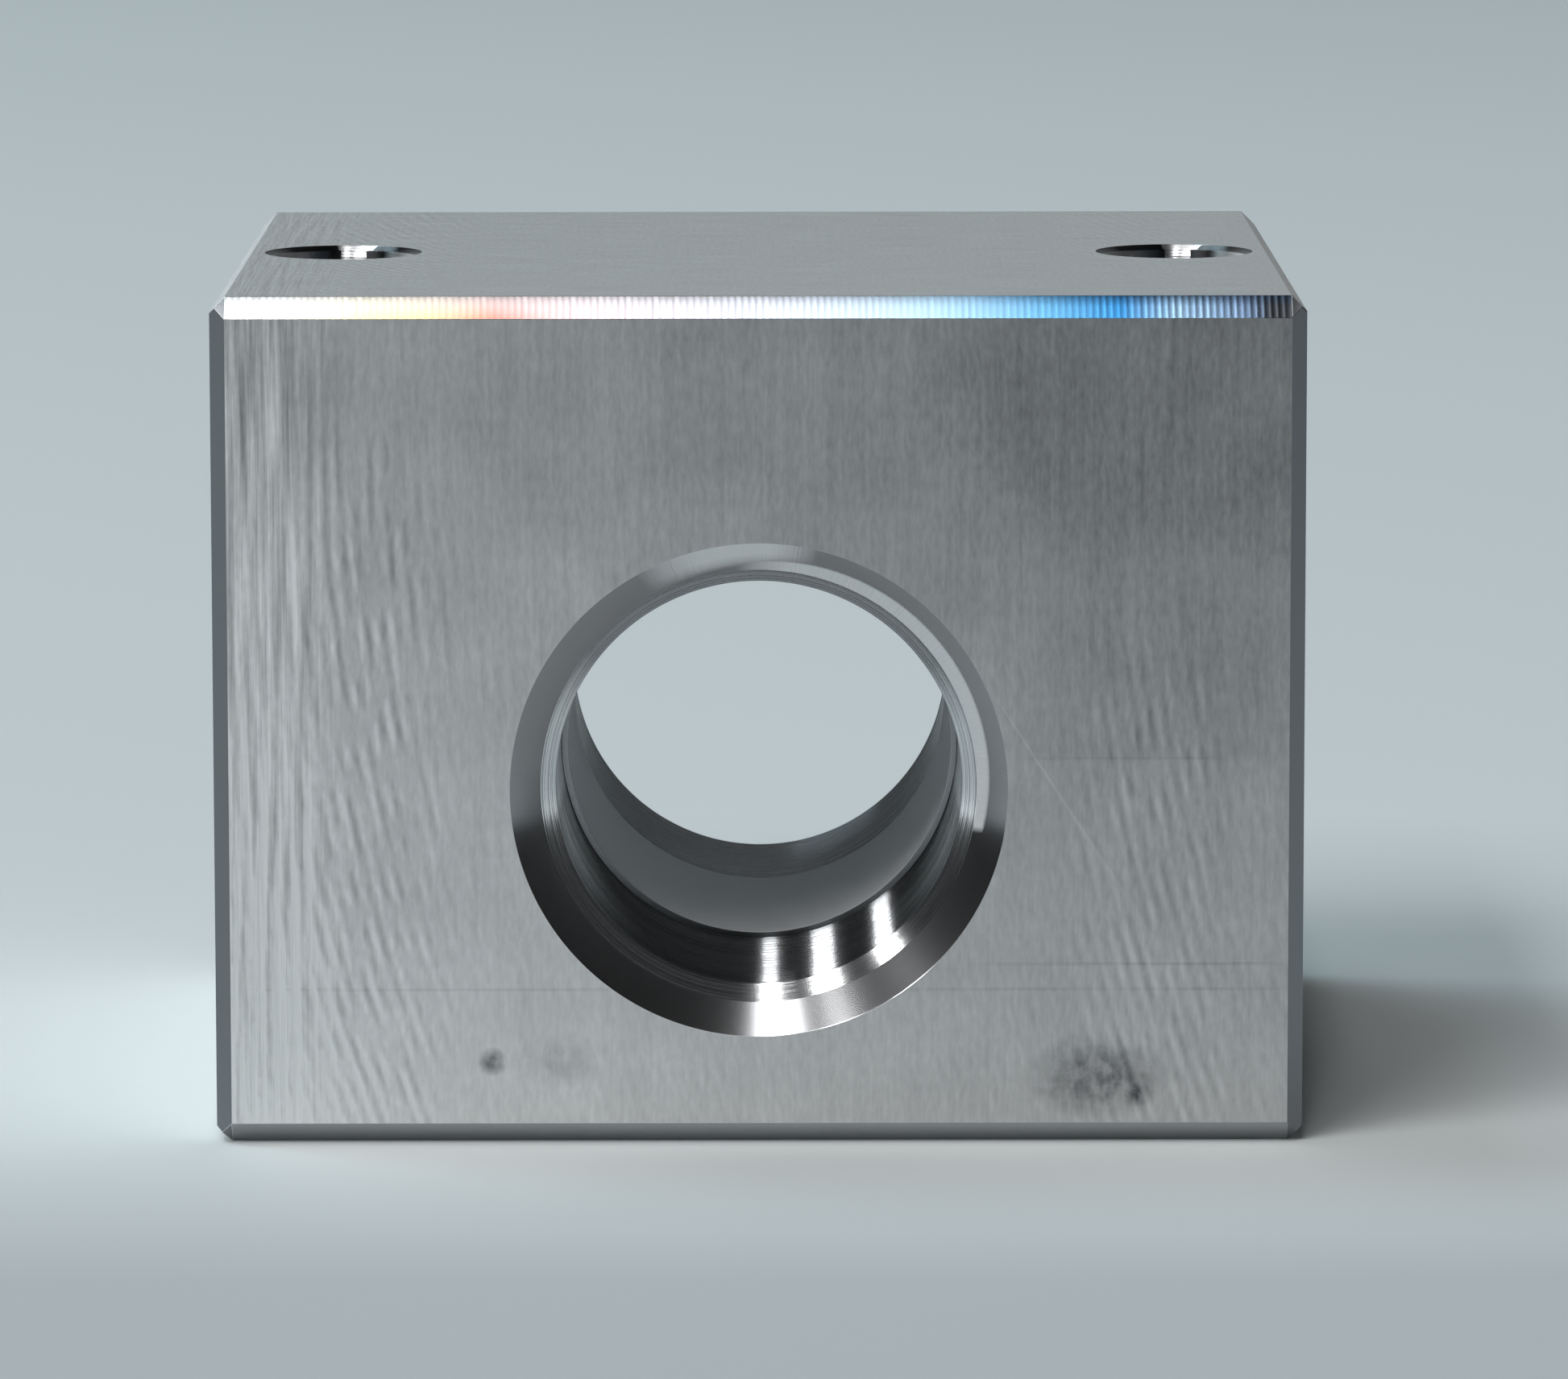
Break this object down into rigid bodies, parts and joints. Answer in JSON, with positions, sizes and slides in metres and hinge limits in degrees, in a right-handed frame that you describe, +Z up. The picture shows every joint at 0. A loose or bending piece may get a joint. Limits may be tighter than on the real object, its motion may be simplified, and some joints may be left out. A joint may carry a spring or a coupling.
{
  "type": "machined mounting block",
  "caption": "Rectangular aluminium block with a stepped, chamfered bore through it and a plain bolt hole down each side.",
  "frame": {"origin": "middle of the foot, on the surface the block stands on", "axes": "+Z up, +Y along the bore from the front face to the back face, +X to the right seen from the front"},
  "size_m": [0.064, 0.06, 0.05],
  "materials": {
    "milled_aluminium": "milled, satin"
  },
  "bodies": {
    "root": {"mounting_block": "milled_aluminium"}
  },
  "joints": []
}
